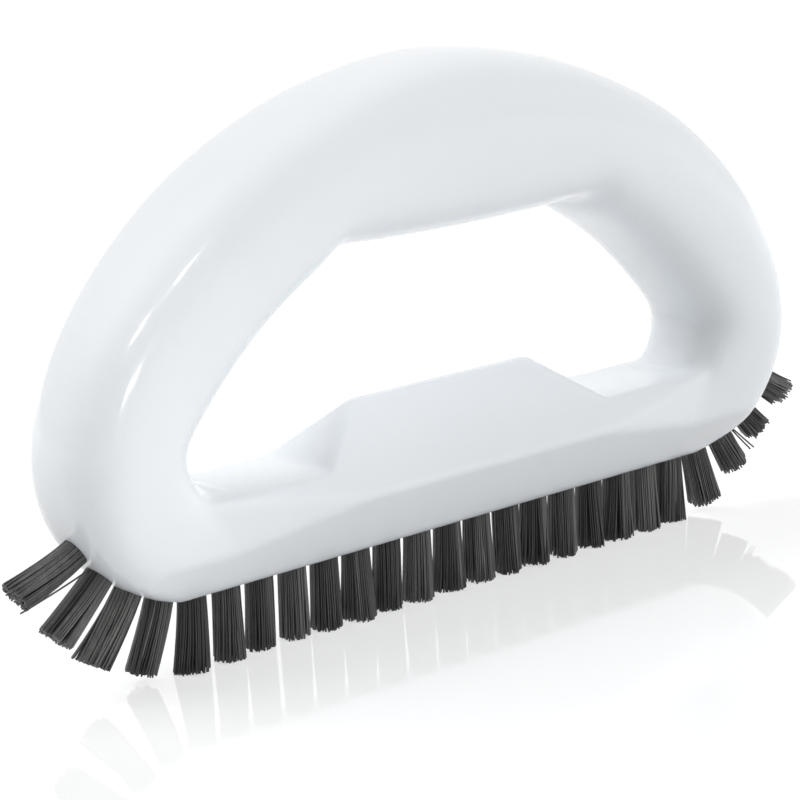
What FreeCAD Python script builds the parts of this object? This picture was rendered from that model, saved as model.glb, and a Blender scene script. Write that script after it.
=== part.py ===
import FreeCAD, Part
import math
import os
import Sketcher

# Grout brush: a one-piece moulded D handle with a single row of staple-set bristle tufts.
# +X runs along the row, +Z is up, and Z = 0 is the plane of the straight tufts' trimmed tips.

# Driving dimensions in millimetres; counts and shares are plain numbers
SIZES = {
    # Row of tufts
    "tuft_pitch": 8,
    "fan_pitch": 7.5,
    "half_row_pitches": 8,
    "fan_tufts": 4,
    "tuft_free_length": 14.8,
    "fan_trim": 0.75,
    "tuft_root_radius": 2.8,
    "tuft_tip_radius": 3.2,
    "flare_start": 0.3,
    "hole_depth": 5,
    "hole_clearance": 0.05,
    "fold_clearance": 0.1,
    # Flat wire anchor that pins each folded tuft at the bottom of its hole
    "anchor_width": 7.4,
    "anchor_height": 2,
    "anchor_thickness": 0.6,
    "anchor_setback": 1.2,
    "anchor_clearance": 0.05,
    # D outline of the handle, seen from the side
    "bow_radius": 29.5,
    "handle_height": 110.5,
    "outer_power_share": 1.78,
    "grip_flat_half_length": 30,
    "grip_underside_height": 76.3,
    "grip_belly": 0.8,
    "opening_half_length": 67.2,
    "shoulder_power_share": 1.23,
    # Widths and roundness of the tube
    "grip_half_width": 17.4,
    "leg_half_width": 13.2,
    "foot_half_width": 11.2,
    "grip_top_roundness_share": 2.65,
    "opening_roundness_share": 2.75,
    "leg_roundness_share": 2.55,
    "foot_roundness_share": 3.6,
    # Foot: where the tube turns from the leg into the base
    "foot_nose_half_length": 61.5,
    "foot_top_rise": 0.8,
    "root_overlap": 8,
    "root_inset": 1.2,
    # Base: a keel with a V shaped underside and a hipped roof
    "underside_half_width": 3.9,
    "ridge_half_width": 15.4,
    "ridge_height": 29.4,
    "crest_height": 45.1,
    "crest_half_length": 23,
    "hip_foot_half_length": 37,
    "low_top_height": 34.6,
    "side_break_half_length": 30,
    "base_half_length": 72,
    "base_end_half_width": 9.8,
    "overrun": 3,
}

doc = FreeCAD.newDocument("grout_brush")
sheet = doc.addObject("Spreadsheet::Sheet", "sizes")
for row, (alias, value) in enumerate(SIZES.items(), start=1):
    sheet.set(f"A{row}", alias)
    sheet.set(f"B{row}", str(value))
    sheet.setAlias(f"B{row}", alias)
doc.recompute()


def size(alias):
    return float(sheet.get(alias))


def role_plane(body, role):
    return next(plane for plane in body.Origin.OriginFeatures if plane.Role == role)


def outline(body, name, role, corners):
    """A closed straight-sided sketch; each corner is a pair of expressions in the sheet's names."""
    sketch = body.newObject("Sketcher::SketchObject", name)
    sketch.AttachmentSupport = [(role_plane(body, role), "")]
    sketch.MapMode = "FlatFace"
    places = [tuple(float(sheet.evalExpression(text)) for text in corner) for corner in corners]
    count = len(corners)
    for index in range(count):
        start = FreeCAD.Vector(*places[index], 0)
        end = FreeCAD.Vector(*places[(index + 1) % count], 0)
        sketch.addGeometry(Part.LineSegment(start, end))
    for index in range(count):
        sketch.addConstraint(Sketcher.Constraint("Coincident", index, 2, (index + 1) % count, 1))
        for kind, place, text in zip(("DistanceX", "DistanceY"), places[index], corners[index]):
            number = sketch.addConstraint(Sketcher.Constraint(kind, -1, 1, index, 1, place))
            sketch.setExpression(f"Constraints[{number}]", in_sheet(text))
    return sketch


def in_sheet(text):
    """Put the sheet's name before each of its aliases in an expression."""
    words = []
    word = ""
    for letter in text + " ":
        if letter.isalnum() or letter == "_":
            word += letter
            continue
        words.append("sizes." + word if word in SIZES else word)
        words.append(letter)
        word = ""
    return "".join(words).strip()


def pad(body, sketch, length):
    feature = body.newObject("PartDesign::Pad", body.Name + "_pad")
    feature.Profile = sketch
    feature.Midplane = True
    feature.setExpression("Length", in_sheet(length))
    return feature


def padded_body(name, role, corners, length):
    body = doc.addObject("PartDesign::Body", name)
    pad(body, outline(body, name + "_outline", role, corners), length)
    return body


# Seats of the tufts: how far along the row, and which way they lean

def tuft_places():
    """Signed place numbers along the row, from the -X end to the +X end."""
    reach = int(size("half_row_pitches") + size("fan_tufts"))
    return range(-reach, reach + 1)


def fan_steps(place):
    """Pitches that a tuft lies round the bow, beyond the straight part of the row."""
    return max(0, abs(place) - int(size("half_row_pitches")))


# Any lean but zero, so that the turning axis holds until the sheet's own lean takes over
LEAN_START = 45


def seat(item, place):
    """Set an object at a hole's mouth with its local -Z along the tuft, bound to the sheet."""
    side = -1 if place < 0 else 1
    steps = fan_steps(place)
    straight = abs(place) - steps
    lean = f"({steps} * fan_pitch / bow_radius * 1rad)"
    along = f"{side} * ({straight} * tuft_pitch + bow_radius * sin{lean})"
    height = f"tuft_free_length + bow_radius * (1 - cos{lean})"
    item.Placement = FreeCAD.Placement(
        FreeCAD.Vector(), FreeCAD.Rotation(FreeCAD.Vector(0, -side, 0), LEAN_START))
    item.setExpression("Placement.Base.x", in_sheet(along))
    item.setExpression("Placement.Base.z", in_sheet(height))
    item.setExpression("Placement.Rotation.Angle", in_sheet(lean))


# Anchor rectangle along the hole, measured from the mouth
ANCHOR_TOP = "(hole_depth - fold_clearance - anchor_setback)"
ANCHOR_FOOT = "(hole_depth - fold_clearance - anchor_setback - anchor_height)"


def rectangle(half_width, low, high):
    return [(f"-{half_width}", low), (half_width, low), (half_width, high), (f"-{half_width}", high)]


def tuft(number, place):
    """A folded bundle of bristle: a plug that fills its hole and spreads slowly to the tip."""
    body = doc.addObject("PartDesign::Body", f"tuft_{number:02d}")
    fold = "(hole_depth - fold_clearance)"
    trimmed = f"({fan_steps(place)} * fan_trim - tuft_free_length)"
    profile = [
        ("0", trimmed),
        ("tuft_tip_radius", trimmed),
        ("tuft_root_radius", "-flare_start"),
        ("tuft_root_radius", fold),
        ("0", fold),
    ]
    sketch = outline(body, body.Name + "_profile", "XZ_Plane", profile)
    turned = body.newObject("PartDesign::Revolution", body.Name + "_bundle")
    turned.Profile = sketch
    turned.ReferenceAxis = (sketch, ["V_Axis"])
    passage = rectangle("(anchor_thickness / 2 + anchor_clearance)",
                        ANCHOR_FOOT + " - anchor_clearance", ANCHOR_TOP + " + anchor_clearance")
    slot = body.newObject("PartDesign::Pocket", body.Name + "_anchor_passage")
    slot.Profile = outline(body, body.Name + "_passage", "XZ_Plane", passage)
    slot.Type = "ThroughAll"
    slot.Midplane = True
    seat(body, place)
    return body


def anchor(number, place):
    """A flat wire staple, wider than the hole, whose ends bite into the block."""
    corners = rectangle("anchor_width / 2", ANCHOR_FOOT, ANCHOR_TOP)
    body = padded_body(f"anchor_{number:02d}", "YZ_Plane", corners, "anchor_thickness")
    seat(body, place)
    return body


def drill(number, place):
    """The cutter for one hole and the two nicks that its anchor bites."""
    body = doc.addObject("PartDesign::Body", f"drill_{number:02d}")
    radius = "(tuft_root_radius + hole_clearance)"
    profile = [("0", "-overrun"), (radius, "-overrun"), (radius, "hole_depth"), ("0", "hole_depth")]
    sketch = outline(body, body.Name + "_profile", "XZ_Plane", profile)
    turned = body.newObject("PartDesign::Revolution", body.Name + "_bore")
    turned.Profile = sketch
    turned.ReferenceAxis = (sketch, ["V_Axis"])
    nick = rectangle("(anchor_width / 2 + anchor_clearance)",
                     ANCHOR_FOOT + " - anchor_clearance", ANCHOR_TOP + " + anchor_clearance")
    pad(body, outline(body, body.Name + "_nick", "YZ_Plane", nick),
        "anchor_thickness + 2 * anchor_clearance")
    seat(body, place)
    return body


# Handle tube: rounded sections set across the D, from one foot over the grip to the other

def bow_centre():
    """Half-length and height of the bow's centre; its height is also the D's widest level."""
    half_length = size("half_row_pitches") * size("tuft_pitch")
    return half_length, size("tuft_free_length") + size("bow_radius")


def oval(angle, power):
    """Point of a unit oval quadrant: straight up at angle 0, level at a quarter turn."""
    exponent = 2 / power
    return abs(math.sin(angle)) ** exponent, abs(math.cos(angle)) ** exponent


def outer_point(angle):
    """Point of the D's upper outline at an angle from straight up."""
    straight, level = bow_centre()
    across, up = oval(angle, size("outer_power_share"))
    half_length = straight + size("bow_radius")
    return half_length * across, level + (size("handle_height") - level) * up


def shoulder_point(angle):
    """Point of the opening's shoulder, from the end of the flat underside to the leg."""
    level = bow_centre()[1]
    across, up = oval(angle, size("shoulder_power_share"))
    flat = size("grip_flat_half_length")
    return (flat + (size("opening_half_length") - flat) * across,
            level + (size("grip_underside_height") - level) * up)


# Where the grip's sections stand between its middle and the end of its flat underside
GRIP_SHARES = (0, 0.25, 0.5, 0.75)
LEAD_IN_SECTIONS = 4
LEG_SECTIONS = 6
FOOT_SECTIONS = 4
RIM_POINTS = 24


def blend(start, end, share):
    return start + (end - start) * share


def tube_roundness(leg_share):
    """Roundness of the tube's section on its outside and on the side of the opening."""
    outside = blend(size("grip_top_roundness_share"), size("leg_roundness_share"), leg_share)
    return outside, size("opening_roundness_share")


def grip_stations():
    """Upright sections over the flat underside, as (outer, inner, half width, roundness)."""
    half_length = bow_centre()[0] + size("bow_radius")
    stations = []
    for share in GRIP_SHARES:
        reach = share * size("grip_flat_half_length")
        angle = math.asin((reach / half_length) ** (size("outer_power_share") / 2))
        belly = size("grip_belly") * math.cos(share * math.pi / 2)
        inner = (reach, size("grip_underside_height") - belly)
        stations.append((outer_point(angle), inner, size("grip_half_width"), tube_roundness(0)))
    return stations


def leg_stations():
    """Sections that swing from upright at the grip's end to level at the leg's foot."""
    half_length = bow_centre()[0] + size("bow_radius")
    flat_share = size("grip_flat_half_length") / half_length
    first_angle = math.asin(flat_share ** (size("outer_power_share") / 2))
    stations = []
    for step in range(LEG_SECTIONS):
        share = step / (LEG_SECTIONS - 1)
        angle = blend(first_angle, math.pi / 2, share)
        leg_share = math.sin(share * math.pi / 2) ** 2
        half_width = blend(size("grip_half_width"), size("leg_half_width"), leg_share)
        inner = shoulder_point(share * math.pi / 2)
        stations.append((outer_point(angle), inner, half_width, tube_roundness(leg_share)))
    return stations


def foot_stations():
    """Sections that swing round the bow until they dip under the underside, then one buried in the base."""
    straight, level = bow_centre()
    bow = size("bow_radius")
    nose = size("foot_nose_half_length")
    nose_height = size("low_top_height") + size("foot_top_rise")
    squared = size("foot_roundness_share")
    inset = size("root_inset")
    stations = []
    for step in range(1, FOOT_SECTIONS + 1):
        angle = step / FOOT_SECTIONS * math.pi / 2
        dip = inset if step == FOOT_SECTIONS else 0
        outer = (straight + bow * math.cos(angle), level - bow * math.sin(angle) - dip)
        inner = (blend(nose, size("opening_half_length"), math.cos(angle)),
                 blend(level, nose_height, math.sin(angle)))
        half_width = blend(size("leg_half_width"), size("foot_half_width"), math.sin(angle))
        roundness = [blend(tube, squared, math.sin(angle)) for tube in tube_roundness(1)]
        stations.append((outer, inner, half_width, roundness))
    root = nose - size("root_overlap")
    outer = (root, size("tuft_free_length") + inset)
    inner = (root, size("low_top_height") - inset)
    stations.append((outer, inner, size("foot_half_width") - inset, (squared, squared)))
    return stations


def section(outer, inner, half_width, roundness):
    """A closed rounded section in the plane of Y and the line from inner to outer."""
    outer = FreeCAD.Vector(outer[0], 0, outer[1])
    inner = FreeCAD.Vector(inner[0], 0, inner[1])
    centre = (outer + inner) / 2
    reach = (outer - inner) / 2
    rim = []
    for step in range(RIM_POINTS):
        angle = 2 * math.pi * step / RIM_POINTS
        outward = math.cos(angle)
        sideways = math.sin(angle)
        exponent = 2 / (roundness[0] if outward >= 0 else roundness[1])
        along = math.copysign(abs(outward) ** exponent, outward)
        across = math.copysign(abs(sideways) ** exponent, sideways)
        rim.append(centre + reach * along + FreeCAD.Vector(0, half_width * across, 0))
    curve = Part.BSplineCurve()
    curve.interpolate(Points=rim, PeriodicFlag=True)
    return Part.Wire([curve.toShape()])


def mirrored(station):
    outer, inner, half_width, roundness = station
    return (-outer[0], outer[1]), (-inner[0], inner[1]), half_width, roundness


def right_side():
    """All that lies on the +X side."""
    box = doc.addObject("Part::Box", "right_side")
    box.setExpression("Length", in_sheet("2 * (half_row_pitches * tuft_pitch + bow_radius)"))
    box.setExpression("Width", in_sheet("4 * grip_half_width"))
    box.setExpression("Height", in_sheet("2 * handle_height"))
    box.setExpression("Placement.Base.y", in_sheet("-2 * grip_half_width"))
    return box


def handle_tube():
    """Half a tube, started past the middle so that it crosses it level, and its mirror."""
    stations = grip_stations() + leg_stations() + foot_stations()
    lead_in = [mirrored(station) for station in reversed(stations[1:LEAD_IN_SECTIONS + 1])]
    half = doc.addObject("Part::Feature", "half_tube")
    half.Shape = Part.makeLoft([section(*station) for station in lead_in + stations], True, False)
    right = doc.addObject("Part::MultiCommon", "right_tube")
    right.Shapes = [half, right_side()]
    left = doc.addObject("Part::Mirroring", "left_tube")
    left.Source = right
    left.Normal = (1, 0, 0)
    return [left, right]


# Base: what three outlines and the bow have in common

def bow_envelope():
    """A block between two rollers that stay inside the foot's outer line."""
    block = doc.addObject("Part::Box", "bow_block")
    block.setExpression("Length", in_sheet("2 * half_row_pitches * tuft_pitch"))
    block.setExpression("Width", in_sheet("4 * ridge_half_width"))
    block.setExpression("Height", in_sheet("2 * bow_radius + overrun"))
    block.setExpression("Placement.Base.x", in_sheet("-half_row_pitches * tuft_pitch"))
    block.setExpression("Placement.Base.y", in_sheet("-2 * ridge_half_width"))
    block.setExpression("Placement.Base.z", in_sheet("tuft_free_length - overrun"))
    members = [block]
    for side, name in ((-1, "bow_roller_left"), (1, "bow_roller_right")):
        roller = doc.addObject("Part::Cylinder", name)
        roller.Placement.Rotation = FreeCAD.Rotation(FreeCAD.Vector(1, 0, 0), 90)
        roller.setExpression("Radius", in_sheet("bow_radius - root_inset"))
        roller.setExpression("Height", in_sheet("4 * ridge_half_width"))
        roller.setExpression("Placement.Base.x", in_sheet(f"{side} * half_row_pitches * tuft_pitch"))
        roller.setExpression("Placement.Base.y", in_sheet("2 * ridge_half_width"))
        roller.setExpression("Placement.Base.z", in_sheet("tuft_free_length + bow_radius"))
        members.append(roller)
    envelope = doc.addObject("Part::MultiFuse", "bow_envelope")
    envelope.Shapes = members
    return envelope


def base_profile():
    """End view: the roof, carried out past the ridges, over plain sides."""
    eave = "(ridge_half_width + overrun)"
    eave_height = f"(crest_height - (crest_height - ridge_height) / ridge_half_width * {eave})"
    corners = [
        (f"-{eave}", "tuft_free_length - overrun"),
        (eave, "tuft_free_length - overrun"),
        (eave, eave_height),
        ("0", "crest_height"),
        (f"-{eave}", eave_height),
    ]
    return padded_body("base_profile", "YZ_Plane", corners, "2 * base_half_length")


def base_plan():
    """Top view: a slim boat whose sides pass the ridges where the side facets start."""
    taper = "((ridge_half_width - base_end_half_width) / (base_half_length - side_break_half_length))"
    middle = f"(ridge_half_width + side_break_half_length * {taper})"
    corners = [
        ("-base_half_length", "-base_end_half_width"),
        ("0", f"-{middle}"),
        ("base_half_length", "-base_end_half_width"),
        ("base_half_length", "base_end_half_width"),
        ("0", middle),
        ("-base_half_length", "base_end_half_width"),
    ]
    return padded_body("base_plan", "XY_Plane", corners, "4 * crest_height")


def base_front():
    """Side view: low top at both ends and the hipped roof between them."""
    corners = [
        ("-base_half_length", "0"),
        ("base_half_length", "0"),
        ("base_half_length", "low_top_height"),
        ("hip_foot_half_length", "low_top_height"),
        ("crest_half_length", "crest_height"),
        ("-crest_half_length", "crest_height"),
        ("-hip_foot_half_length", "low_top_height"),
        ("-base_half_length", "low_top_height"),
    ]
    return padded_body("base_front", "XZ_Plane", corners, "4 * ridge_half_width")


def base():
    common = doc.addObject("Part::MultiCommon", "base")
    common.Shapes = [base_profile(), base_plan(), base_front(), bow_envelope()]
    return common


def keel_wedge():
    """All that lies above the flat underside and between the two V flanks, carried up past the grip."""
    flare = "((ridge_half_width - underside_half_width) / (ridge_height - tuft_free_length))"
    top = f"(underside_half_width + {flare} * (2 * handle_height - tuft_free_length))"
    corners = [
        ("-underside_half_width", "tuft_free_length"),
        ("underside_half_width", "tuft_free_length"),
        (top, "2 * handle_height"),
        (f"-{top}", "2 * handle_height"),
    ]
    return padded_body("keel_wedge", "YZ_Plane", corners, "4 * (half_row_pitches * tuft_pitch + bow_radius)")


def handle_block(drills):
    """The moulded handle and base in one piece, drilled for the tufts."""
    whole = doc.addObject("Part::MultiFuse", "whole")
    whole.Shapes = handle_tube() + [base()]
    blank = doc.addObject("Part::MultiCommon", "blank")
    blank.Shapes = [whole, keel_wedge()]
    drilling = doc.addObject("Part::MultiFuse", "drilling")
    drilling.Shapes = drills
    block = doc.addObject("Part::Cut", "handle_block")
    block.Base = blank
    block.Tool = drilling
    return block


# Assembly
numbered = list(enumerate(tuft_places(), start=1))
parts = [tuft(number, place) for number, place in numbered]
parts += [anchor(number, place) for number, place in numbered]
parts.append(handle_block([drill(number, place) for number, place in numbered]))
doc.recompute()

# Checks before anything is written
for item in doc.Objects:
    if "Invalid" in item.State or "Error" in item.State:
        raise RuntimeError(f"{item.Label} failed: {item.State}")
for item in parts:
    if item.Shape.isNull() or not item.Shape.isValid() or len(item.Shape.Solids) != 1:
        raise RuntimeError(f"{item.Label} is not one valid solid")
block = parts[-1].Shape
grip_middle = (size("grip_underside_height") + size("handle_height")) / 2
for height in (size("low_top_height"), grip_middle):
    if not block.isInside(FreeCAD.Vector(0, 0, height), size("hole_clearance"), True):
        raise RuntimeError("handle_block lost its base or its grip")

os.makedirs("parts", exist_ok=True)
for item in parts:
    item.Label = item.Name
    item.Shape.exportStep(f"parts/{item.Label}.step")
print("handle volume", round(block.Volume), "box", block.optimalBoundingBox(False, False))
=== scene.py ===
import math
import random

import bmesh
import bpy
from mathutils import Matrix, Vector


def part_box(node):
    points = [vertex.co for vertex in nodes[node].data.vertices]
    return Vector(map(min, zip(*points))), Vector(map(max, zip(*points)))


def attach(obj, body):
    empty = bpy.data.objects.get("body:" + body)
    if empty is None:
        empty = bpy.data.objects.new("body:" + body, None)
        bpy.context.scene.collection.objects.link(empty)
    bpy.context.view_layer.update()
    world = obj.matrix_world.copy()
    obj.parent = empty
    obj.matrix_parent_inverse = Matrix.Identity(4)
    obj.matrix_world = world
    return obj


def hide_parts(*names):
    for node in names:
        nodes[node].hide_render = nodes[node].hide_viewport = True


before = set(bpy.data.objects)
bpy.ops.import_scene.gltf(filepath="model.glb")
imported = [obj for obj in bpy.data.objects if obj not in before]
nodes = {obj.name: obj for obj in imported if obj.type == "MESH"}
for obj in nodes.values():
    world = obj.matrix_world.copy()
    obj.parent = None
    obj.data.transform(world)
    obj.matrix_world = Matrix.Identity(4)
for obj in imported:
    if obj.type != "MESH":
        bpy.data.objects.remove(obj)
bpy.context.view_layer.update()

# Grout brush: glossy white D handle over a single row of charcoal bristle tufts, on a pale glossy floor.
# Lengths are in metres in the part's own frame: +X along the row, +Z up, the straight tufts' tips at Z = 0.

MM = 0.001
TUFTS = 25
MIDDLE_TUFT = 13
LAST_STRAIGHT_TUFT = 21


def centre(node):
    low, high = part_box(node)
    return (low + high) / 2


# Places read from the frame
block_low, block_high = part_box("handle_block")
BLOCK_MIDDLE = (block_low + block_high) / 2
UNDERSIDE = block_low.z
ROW_END = centre(f"anchor_{LAST_STRAIGHT_TUFT:02d}").x
BOW_RADIUS = block_high.x - ROW_END
BOW_LEVEL = UNDERSIDE + BOW_RADIUS
pin_low, pin_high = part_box(f"anchor_{MIDDLE_TUFT}")
bundle_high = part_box(f"tuft_{MIDDLE_TUFT}")[1]
PIN_DEPTH = (pin_low.z + pin_high.z) / 2 - UNDERSIDE
ANCHOR_HALF_THICKNESS = (pin_high.x - pin_low.x) / 2
ANCHOR_DEPTHS = (pin_low.z - UNDERSIDE, pin_high.z - UNDERSIDE)
FOLD_DEPTH = bundle_high.z - UNDERSIDE
TIP_RADIUS = bundle_high.y
ACROSS = Vector((0, 1, 0))


# Node helpers

def new_material(name):
    material = bpy.data.materials.new(name)
    material.use_nodes = True
    material.node_tree.nodes.clear()
    return material, material.node_tree


def add(tree, kind, **inputs):
    """Add a node and set the named input sockets to plain values."""
    node = tree.nodes.new(kind)
    for key, value in inputs.items():
        node.inputs[key.replace("_", " ")].default_value = value
    return node


def surface(tree, shader):
    output = tree.nodes.new("ShaderNodeOutputMaterial")
    tree.links.new(shader.outputs["BSDF"], output.inputs["Surface"])


def noise(tree, scale, detail, stretch=(1, 1, 1)):
    """Noise in object coordinates; stretch scales each axis before the noise is read."""
    place = tree.nodes.new("ShaderNodeTexCoord")
    mapping = add(tree, "ShaderNodeMapping", Scale=stretch)
    pattern = add(tree, "ShaderNodeTexNoise", Scale=scale, Detail=detail)
    tree.links.new(place.outputs["Object"], mapping.inputs["Vector"])
    tree.links.new(mapping.outputs["Vector"], pattern.inputs["Vector"])
    return pattern.outputs["Fac"]


def spread(tree, value, low, high):
    """Map a 0 to 1 value onto a range."""
    node = add(tree, "ShaderNodeMapRange", To_Min=low, To_Max=high)
    tree.links.new(value, node.inputs["Value"])
    return node.outputs["Result"]


def ramp(tree, value, stops):
    """Colour a 0 to 1 value by stops of (position, colour)."""
    node = tree.nodes.new("ShaderNodeValToRGB")
    elements = node.color_ramp.elements
    while len(elements) < len(stops):
        elements.new(1)
    for element, (position, colour) in zip(elements, stops):
        element.position = position
        element.color = (*colour, 1)
    tree.links.new(value, node.inputs["Fac"])
    return node.outputs["Color"]


def multiply(tree, first, second):
    node = tree.nodes.new("ShaderNodeMix")
    node.data_type = "RGBA"
    node.blend_type = "MULTIPLY"
    node.inputs["Factor"].default_value = 1
    tree.links.new(first, node.inputs["A"])
    tree.links.new(second, node.inputs["B"])
    return node.outputs["Result"]


def bump(tree, height, strength, distance):
    node = add(tree, "ShaderNodeBump", Strength=strength, Distance=distance)
    tree.links.new(height, node.inputs["Height"])
    return node.outputs["Normal"]


# Materials: noise scales are in waves to the metre

PEEL_DEPTH = 0.1 * MM
WIRE_LINE_DEPTH = 0.02 * MM


def handle_plastic():
    """White moulded plastic: faint clouds in the colour, a soft gloss that varies, a slight orange peel."""
    material, tree = new_material("handle_plastic")
    shader = add(tree, "ShaderNodeBsdfPrincipled", IOR=1.49, Coat_Weight=0.35, Coat_Roughness=0.06)
    cloud = noise(tree, scale=22, detail=3)
    tint = ramp(tree, cloud, [(0.3, (0.83, 0.86, 0.89)), (0.7, (0.86, 0.88, 0.905))])
    # A roughness range that runs past 0.22 showed as bright patches
    gloss = spread(tree, noise(tree, scale=90, detail=4), low=0.14, high=0.21)
    peel = bump(tree, noise(tree, scale=420, detail=2), strength=0.05, distance=PEEL_DEPTH)
    tree.links.new(tint, shader.inputs["Base Color"])
    tree.links.new(gloss, shader.inputs["Roughness"])
    tree.links.new(peel, shader.inputs["Normal"])
    surface(tree, shader)
    return material


def bristle():
    """Charcoal nylon filament: each clump and each filament its own shade, with fine streaks along it."""
    material, tree = new_material("bristle")
    shader = add(tree, "ShaderNodeBsdfPrincipled", IOR=1.53)
    tone = tree.nodes.new("ShaderNodeAttribute")
    tone.attribute_name = "tone"
    shades = [
        (0.1, (0.018, 0.018, 0.018)),
        (0.5, (0.062, 0.062, 0.062)),
        (0.9, (0.17, 0.17, 0.166)),
    ]
    shade = ramp(tree, tone.outputs["Fac"], shades)
    grain = noise(tree, scale=900, detail=3, stretch=(1, 1, 0.12))
    streak = ramp(tree, grain, [(0.3, (0.75, 0.75, 0.76)), (0.75, (1.15, 1.15, 1.13))])
    gloss = spread(tree, noise(tree, scale=600, detail=2), low=0.3, high=0.5)
    tree.links.new(multiply(tree, shade, streak), shader.inputs["Base Color"])
    tree.links.new(gloss, shader.inputs["Roughness"])
    surface(tree, shader)
    return material


def anchor_wire():
    """Drawn flat steel wire: fine lines along its length."""
    material, tree = new_material("anchor_wire")
    shader = add(tree, "ShaderNodeBsdfPrincipled", Metallic=1)
    lines = noise(tree, scale=2500, detail=3, stretch=(1, 0.05, 1))
    tint = ramp(tree, lines, [(0.3, (0.5, 0.5, 0.49)), (0.7, (0.68, 0.68, 0.66))])
    gloss = spread(tree, lines, low=0.28, high=0.45)
    relief = bump(tree, lines, strength=0.2, distance=WIRE_LINE_DEPTH)
    tree.links.new(tint, shader.inputs["Base Color"])
    tree.links.new(gloss, shader.inputs["Roughness"])
    tree.links.new(relief, shader.inputs["Normal"])
    surface(tree, shader)
    return material


# Handle: the block's own shape, with every crease worn soft as a moulding's are, then drilled

FINE_VOXEL = 0.35 * MM
EVEN_VOXEL = 0.8 * MM
SOFTENING_FACTOR = 0.5
SOFTENING_PASSES = 28
EVENING_PASSES = 1
HOLE_RADIUS = 2.85 * MM
PLUG_RADIUS = 3.85 * MM
PLUG_SINK = 0.3 * MM
CUT_OVERRUN = 3 * MM
HOLE_SIDES = 32
RIM_ANGLE = math.radians(45)


def evaluated_mesh(piece):
    """The piece's mesh with its modifiers applied; the modifiers are cleared."""
    graph = bpy.context.evaluated_depsgraph_get()
    mesh = bpy.data.meshes.new_from_object(piece.evaluated_get(graph), depsgraph=graph)
    piece.modifiers.clear()
    return mesh


def new_piece(name, mesh):
    """An object in the scene, from a bmesh that is freed."""
    piece = bpy.data.objects.new(name, bpy.data.meshes.new(name))
    mesh.to_mesh(piece.data)
    mesh.free()
    bpy.context.scene.collection.objects.link(piece)
    return piece


def tuft_line(number):
    """Mouth of a tuft's hole and the direction from it to the tips."""
    pin = centre(f"anchor_{number:02d}")
    axis = Vector((0, 0, -1))
    if abs(pin.x) > ROW_END + ANCHOR_HALF_THICKNESS:
        axis = (pin - Vector((math.copysign(ROW_END, pin.x), 0, BOW_LEVEL))).normalized()
    return pin + axis * PIN_DEPTH, axis


def free_length(number):
    """How far a tuft stands out of its hole; the corner of its tip is its box's far end."""
    mouth, axis = tuft_line(number)
    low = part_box(f"tuft_{number:02d}")[0]
    tip_level = low.z + TIP_RADIUS * abs(axis.x)
    return (mouth.z - tip_level) / -axis.z


def add_rods(mesh, radius, low, high):
    """A rod on every tuft's line, from low to high towards the tips."""
    for number in range(1, TUFTS + 1):
        mouth, axis = tuft_line(number)
        turn = axis.to_track_quat("Z", "Y").to_matrix().to_4x4()
        place = Matrix.Translation(mouth + axis * (low + high) / 2) @ turn
        bmesh.ops.create_cone(mesh, cap_ends=True, segments=HOLE_SIDES, radius1=radius, radius2=radius,
                              depth=high - low, matrix=place)


def remesh(piece, voxel):
    modifier = piece.modifiers.new("remesh", "REMESH")
    modifier.mode = "VOXEL"
    modifier.voxel_size = voxel


def soften(piece, passes):
    modifier = piece.modifiers.new("soften", "SMOOTH")
    modifier.factor = SOFTENING_FACTOR
    modifier.iterations = passes


def drill(piece):
    """Cut the tufts' holes into the softened block."""
    rods = bmesh.new()
    add_rods(rods, HOLE_RADIUS, -FOLD_DEPTH, CUT_OVERRUN)
    cutter = new_piece("drills", rods)
    cut = piece.modifiers.new("drill", "BOOLEAN")
    cut.operation = "DIFFERENCE"
    cut.solver = "MANIFOLD"
    cut.object = cutter
    piece.data = evaluated_mesh(piece)
    bpy.data.objects.remove(cutter)


def handle():
    solid = bmesh.new()
    solid.from_mesh(nodes["handle_block"].data)
    add_rods(solid, PLUG_RADIUS, -FOLD_DEPTH - PLUG_SINK, -PLUG_SINK)
    piece = new_piece("handle_shell", solid)
    remesh(piece, FINE_VOXEL)
    soften(piece, SOFTENING_PASSES)
    remesh(piece, EVEN_VOXEL)
    soften(piece, EVENING_PASSES)
    piece.data = evaluated_mesh(piece)
    drill(piece)
    piece.data.materials.clear()
    piece.data.materials.append(handle_plastic())
    piece.data.shade_smooth()
    piece.data.set_sharp_from_angle(angle=RIM_ANGLE)
    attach(piece, "root")
    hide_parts("handle_block")


# Tufts: bundles of filaments, each folded round its anchor and trimmed

FILAMENT_RADIUS = 0.19 * MM
FILAMENT_SPACING = 0.4 * MM
FILAMENT_SIDES = 5
SEAT_SHARES = (0.3, 0.7)
JITTER = 0.12 * MM
ROOT_RADIUS = 2.85 * MM
LOOSENESS = 0.15 * MM
LOOSE_TIP_RADIUS = TIP_RADIUS + LOOSENESS
FREE_SHARES = (1, 0.75, 0.5, 0.25, 0)
TRIM_SPREAD = 0.3 * MM

# Tips drift sideways by clump, by filament and by the tuft's tilt; the bend keeps the roots straight
CLUMPS = 10
CLUMP_SPLAY = 0.32 * MM
CLUMP_TONE_SHARE = 0.7
SPLAY = 0.1 * MM
BEND = 1.4
TILT = 0.02

# Tufts that stand unlike their solids: outward lean as a share of the length, share of the solid's length
EVEN_TUFT = (0, 1)
UNEVEN_TUFTS = {
    1: (0.18, 1.2), 2: (0.16, 1.14), 3: (0.13, 1.12), 4: (0.11, 1.04), 5: (0.09, 1), 6: (0.05, 1),
    23: (0, 0.88), 24: (0, 0.82), 25: (0.05, 1.15),
}

# Stray filaments at the outer side of a tuft: lean outwards and across, as shares of the tuft's length
STRAYS = {2: [(0.42, 0)], 23: [(0.24, -0.1), (0.16, -0.05)]}


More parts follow.
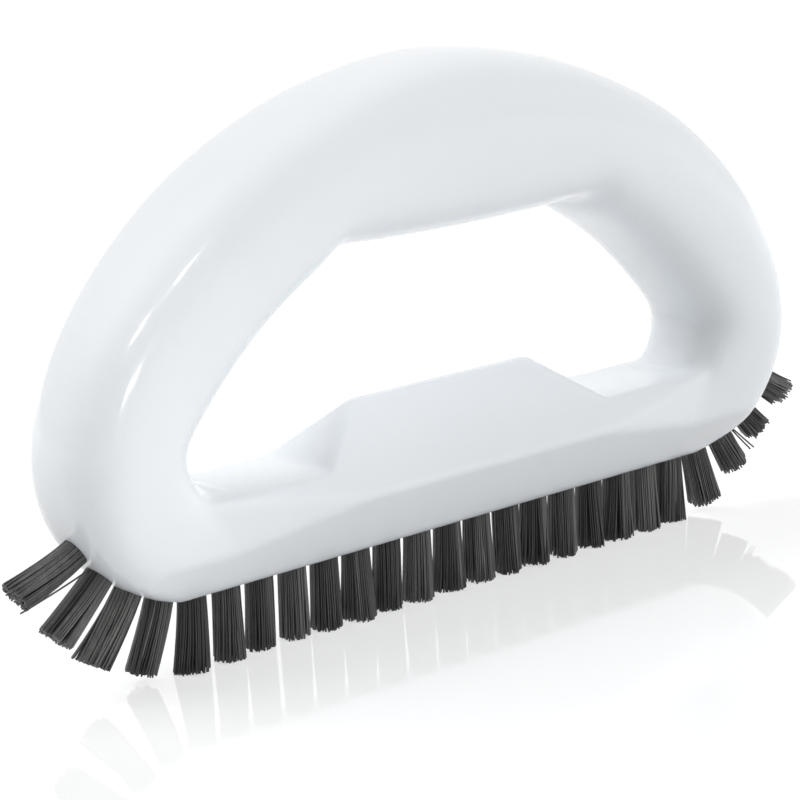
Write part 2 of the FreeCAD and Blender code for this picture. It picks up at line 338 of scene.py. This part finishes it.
def bundle_places(rng):
    """One leg of each filament, on rings in the half of the hole at one side of the anchor."""
    places = []
    radius = ROOT_RADIUS - FILAMENT_RADIUS
    while radius > FILAMENT_RADIUS:
        count = round(math.pi * radius / FILAMENT_SPACING)
        for step in range(count):
            angle = math.pi * ((step + rng.uniform(*SEAT_SHARES)) / count - 0.5)
            reach = radius - rng.uniform(0, JITTER)
            places.append((reach * math.cos(angle), reach * math.sin(angle)))
        radius -= FILAMENT_SPACING
    return places


def filament_seats(number, outward, rng):
    """Each filament's place in the bundle and its own lean; the strays come last."""
    seats = [(place, (0, 0)) for place in bundle_places(rng)]
    edge = (outward * (ROOT_RADIUS - FILAMENT_RADIUS), 0)
    for lean in STRAYS.get(number, []):
        seats.append((edge, (outward * lean[0], lean[1])))
    return seats


def clumps(rng):
    """Filaments that lean together: place in the bundle, drift of the tips and tone of each clump."""
    found = []
    for _ in range(CLUMPS):
        angle = rng.uniform(0, 2 * math.pi)
        reach = ROOT_RADIUS * math.sqrt(rng.random())
        drift = (rng.gauss(0, CLUMP_SPLAY), rng.gauss(0, CLUMP_SPLAY))
        found.append(((reach * math.cos(angle), reach * math.sin(angle)), drift, rng.random()))
    return found


def nearest_clump(place, groups):
    return min(groups, key=lambda group: math.dist(group[0], place))


def leg_tone(place, groups, rng):
    """Shade of one leg: partly its clump's and partly its own."""
    return nearest_clump(place, groups)[2] * CLUMP_TONE_SHARE + rng.random() * (1 - CLUMP_TONE_SHARE)


def flare(share):
    """How many times the bundle is as wide as in its hole: it spreads slowly towards the tips."""
    return 1 + (LOOSE_TIP_RADIUS / ROOT_RADIUS - 1) * share


def free_leg(place, length, drift, rng, lean=(0, 0)):
    """Points of one leg from its trimmed tip to the hole's mouth, as (along row, across, towards tip)."""
    reach = length - abs(rng.gauss(0, TRIM_SPREAD))
    sway = [rng.gauss(0, SPLAY) + drift[axis] for axis in (0, 1)]
    points = []
    for share in FREE_SHARES:
        sideways = []
        for axis in (0, 1):
            swayed = place[axis] * flare(share) + sway[axis] * share ** BEND
            sideways.append(swayed + lean[axis] * length * share)
        points.append((*sideways, reach * share))
    return points


def drift_at(place, groups, tilt, length):
    """How far a filament's tip is carried sideways by its clump and by the whole tuft's tilt."""
    drift = nearest_clump(place, groups)[1]
    return [drift[axis] + tilt[axis] * length for axis in (0, 1)]


def twin(place):
    """Where the other leg of a folded filament stands."""
    return (-place[0], place[1])


def folded_filament(place, length, tilt, groups, rng, lean):
    """One filament: up a leg from its tip, round the anchor and down the other leg."""
    gap = ANCHOR_HALF_THICKNESS + FILAMENT_RADIUS
    clear = math.copysign(max(abs(place[0]), gap), place[0])
    rising = [(clear, place[1], -depth) for depth in ANCHOR_DEPTHS]
    fold = [(0, place[1], FILAMENT_RADIUS - FOLD_DEPTH)]
    falling = [(-clear, place[1], -depth) for depth in reversed(ANCHOR_DEPTHS)]
    first = free_leg(place, length, drift_at(place, groups, tilt, length), rng, lean)
    second = free_leg(twin(place), length, drift_at(twin(place), groups, tilt, length), rng)
    return first + rising + fold + falling + second[::-1]


def add_tube(mesh, points, tones):
    """A round filament along points, closed by flat cut ends; each half has its own leg's tone."""
    layer = mesh.verts.layers.float["tone"]
    rings = []
    for index, point in enumerate(points):
        before = points[max(index - 1, 0)]
        after = points[min(index + 1, len(points) - 1)]
        direction = (after - before).normalized()
        side = direction.cross(ACROSS).normalized()
        other = direction.cross(side)
        ring = []
        for corner in range(FILAMENT_SIDES):
            angle = 2 * math.pi * corner / FILAMENT_SIDES
            offset = side * math.cos(angle) + other * math.sin(angle)
            vertex = mesh.verts.new(point + offset * FILAMENT_RADIUS)
            vertex[layer] = tones[0] if index < len(points) / 2 else tones[1]
            ring.append(vertex)
        rings.append(ring)
    for ring, following in zip(rings, rings[1:]):
        for corner in range(FILAMENT_SIDES):
            nearby = (corner + 1) % FILAMENT_SIDES
            face = mesh.faces.new((ring[corner], ring[nearby], following[nearby], following[corner]))
            face.smooth = True
    mesh.faces.new(rings[0][::-1])
    mesh.faces.new(rings[-1])


def tuft(number, material):
    rng = random.Random(number)
    mouth, axis = tuft_line(number)
    outward = math.copysign(1, mouth.x)
    row_way = ACROSS.cross(axis)
    row_way *= math.copysign(1, row_way.x)
    own_lean, own_share = UNEVEN_TUFTS.get(number, EVEN_TUFT)
    length = free_length(number) * own_share
    tilt = (rng.gauss(0, TILT) + outward * own_lean, rng.gauss(0, TILT))
    groups = clumps(rng)
    mesh = bmesh.new()
    mesh.verts.layers.float.new("tone")
    for place, lean in filament_seats(number, outward, rng):
        points = folded_filament(place, length, tilt, groups, rng, lean)
        tones = [leg_tone(leg, groups, rng) for leg in (place, twin(place))]
        route = [mouth + row_way * along + ACROSS * aside + axis * down for along, aside, down in points]
        add_tube(mesh, route, tones)
    bmesh.ops.recalc_face_normals(mesh, faces=mesh.faces)
    piece = new_piece(f"bristles_{number:02d}", mesh)
    piece.data.materials.append(material)
    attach(piece, "root")
    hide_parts(f"tuft_{number:02d}")


def tufts():
    material = bristle()
    for number in range(1, TUFTS + 1):
        tuft(number, material)


def anchors():
    material = anchor_wire()
    for number in range(1, TUFTS + 1):
        node = nodes[f"anchor_{number:02d}"]
        node.data.materials.clear()
        node.data.materials.append(material)


# Studio: the floor and the sky are one tone where they are seen, another where they only give light

FLOOR_HALF_SIZE = 6
FLOOR_WHITE = 0.9
FLOOR_SEEN = 0.45
FLOOR_LIFT = 0.55
SKY_FILL = 0.14
FILL_COLOUR = (1, 0.955, 0.89)
WHITE = (1, 1, 1)
LAMP_DISTANCE = 0.8
LAMP_COLOUR = (0.965, 0.985, 1)
SOFTBOX_ANGLE = math.radians(50)
SOFTBOXES = {"back_left": ((-0.44, 0.45, 0.78), 2.3), "front_right": ((0.5, -0.7, 0.51), 1.85)}
LEG_SHARE = 0.9
LEG_MIDDLE = Vector((LEG_SHARE * block_low.x, 0, BLOCK_MIDDLE.z))
SPOT_SIZE = 0.085
SPOT_SPREAD = math.radians(9)
SPOT_POWER = 0.0015
SPOTS = {
    "spot_high": (-0.33, -0.63, 0.7),
    "spot_middle": (-0.56, -0.57, 0.6),
    "spot_low": (-0.26, -0.96, 0.13),
}


def seen_directly(tree):
    """1 for camera, glossy and transmission rays, else 0."""
    path = tree.nodes.new("ShaderNodeLightPath")
    total = path.outputs["Is Camera Ray"]
    for name in ("Is Glossy Ray", "Is Transmission Ray"):
        node = tree.nodes.new("ShaderNodeMath")
        node.operation = "MAXIMUM"
        tree.links.new(total, node.inputs[0])
        tree.links.new(path.outputs[name], node.inputs[1])
        total = node.outputs["Value"]
    return total


def floor():
    mesh = bmesh.new()
    bmesh.ops.create_grid(mesh, x_segments=1, y_segments=1, size=FLOOR_HALF_SIZE)
    piece = new_piece("floor", mesh)
    material, tree = new_material("floor")
    shader = add(tree, "ShaderNodeBsdfPrincipled", Roughness=0.04, IOR=1.45, Emission_Color=(*WHITE, 1))
    seen = seen_directly(tree)
    shade = spread(tree, seen, low=FLOOR_WHITE, high=FLOOR_SEEN)
    lift = spread(tree, seen, low=0, high=FLOOR_LIFT)
    tree.links.new(shade, shader.inputs["Base Color"])
    tree.links.new(lift, shader.inputs["Emission Strength"])
    surface(tree, shader)
    piece.data.materials.append(material)


def sky():
    """White where it is seen; as light, an even dim warm dome."""
    world = bpy.data.worlds.new("studio")
    bpy.context.scene.world = world
    world.use_nodes = True
    tree = world.node_tree
    tree.nodes.clear()
    light = tree.nodes.new("ShaderNodeBackground")
    seen = seen_directly(tree)
    colour = ramp(tree, seen, [(0, FILL_COLOUR), (1, WHITE)])
    strength = spread(tree, seen, low=SKY_FILL, high=1)
    tree.links.new(colour, light.inputs["Color"])
    tree.links.new(strength, light.inputs["Strength"])
    output = tree.nodes.new("ShaderNodeOutputWorld")
    tree.links.new(light.outputs["Background"], output.inputs["Surface"])


def lamp(name, kind, target, direction, mirrored):
    """A lamp that shines at a target from a direction; only a mirrored one shows as a glint."""
    data = bpy.data.lights.new(name, kind)
    item = bpy.data.objects.new(name, data)
    position = target + Vector(direction).normalized() * LAMP_DISTANCE
    turn = (target - position).to_track_quat("-Z", "Y")
    item.matrix_world = Matrix.LocRotScale(position, turn, None)
    item.visible_camera = False
    item.visible_glossy = mirrored
    bpy.context.scene.collection.objects.link(item)
    return data


def lamps():
    """Two broad soft lights, and three small narrow ones that the near leg mirrors as glints."""
    for name, (direction, level) in SOFTBOXES.items():
        data = lamp(name, "SUN", BLOCK_MIDDLE, direction, mirrored=False)
        data.color = LAMP_COLOUR
        data.energy = level
        data.angle = SOFTBOX_ANGLE
    for name, direction in SPOTS.items():
        data = lamp(name, "AREA", LEG_MIDDLE, direction, mirrored=True)
        data.energy = SPOT_POWER
        data.size = SPOT_SIZE
        data.spread = SPOT_SPREAD


# Camera at the photograph's angle: angles in degrees, the frame is square

CAMERA_AZIMUTH = -39.573
CAMERA_ELEVATION = 13.862
CAMERA_ROLL = -2.916
CAMERA_AIM = Vector((0, 0, 60 * MM))
CAMERA_SHIFT = (-7.163 * MM, -19.625 * MM)
CAMERA_DISTANCE = 553.556 * MM
SENSOR_WIDTH = 36
FOCAL_PIXELS = 2782.139
PHOTO_PIXELS = 800


def camera():
    azimuth = math.radians(CAMERA_AZIMUTH)
    elevation = math.radians(CAMERA_ELEVATION)
    level_reach = math.cos(elevation)
    back = Vector((math.sin(azimuth) * level_reach, -math.cos(azimuth) * level_reach, math.sin(elevation)))
    level_right = (-back).cross(Vector((0, 0, 1))).normalized()
    turn = Matrix.Rotation(math.radians(CAMERA_ROLL), 3, back)
    right = turn @ level_right
    up = back.cross(right)
    place = CAMERA_AIM + right * CAMERA_SHIFT[0] + up * CAMERA_SHIFT[1] + back * CAMERA_DISTANCE
    lens = bpy.data.cameras.new("camera")
    lens.sensor_width = SENSOR_WIDTH
    lens.lens = SENSOR_WIDTH * FOCAL_PIXELS / PHOTO_PIXELS
    item = bpy.data.objects.new("camera", lens)
    item.matrix_world = Matrix.Translation(place) @ Matrix((right, up, back)).transposed().to_4x4()
    bpy.context.scene.collection.objects.link(item)
    bpy.context.scene.camera = item


handle()
tufts()
anchors()
floor()
sky()
lamps()
camera()
bpy.context.scene.view_settings.view_transform = "Standard"
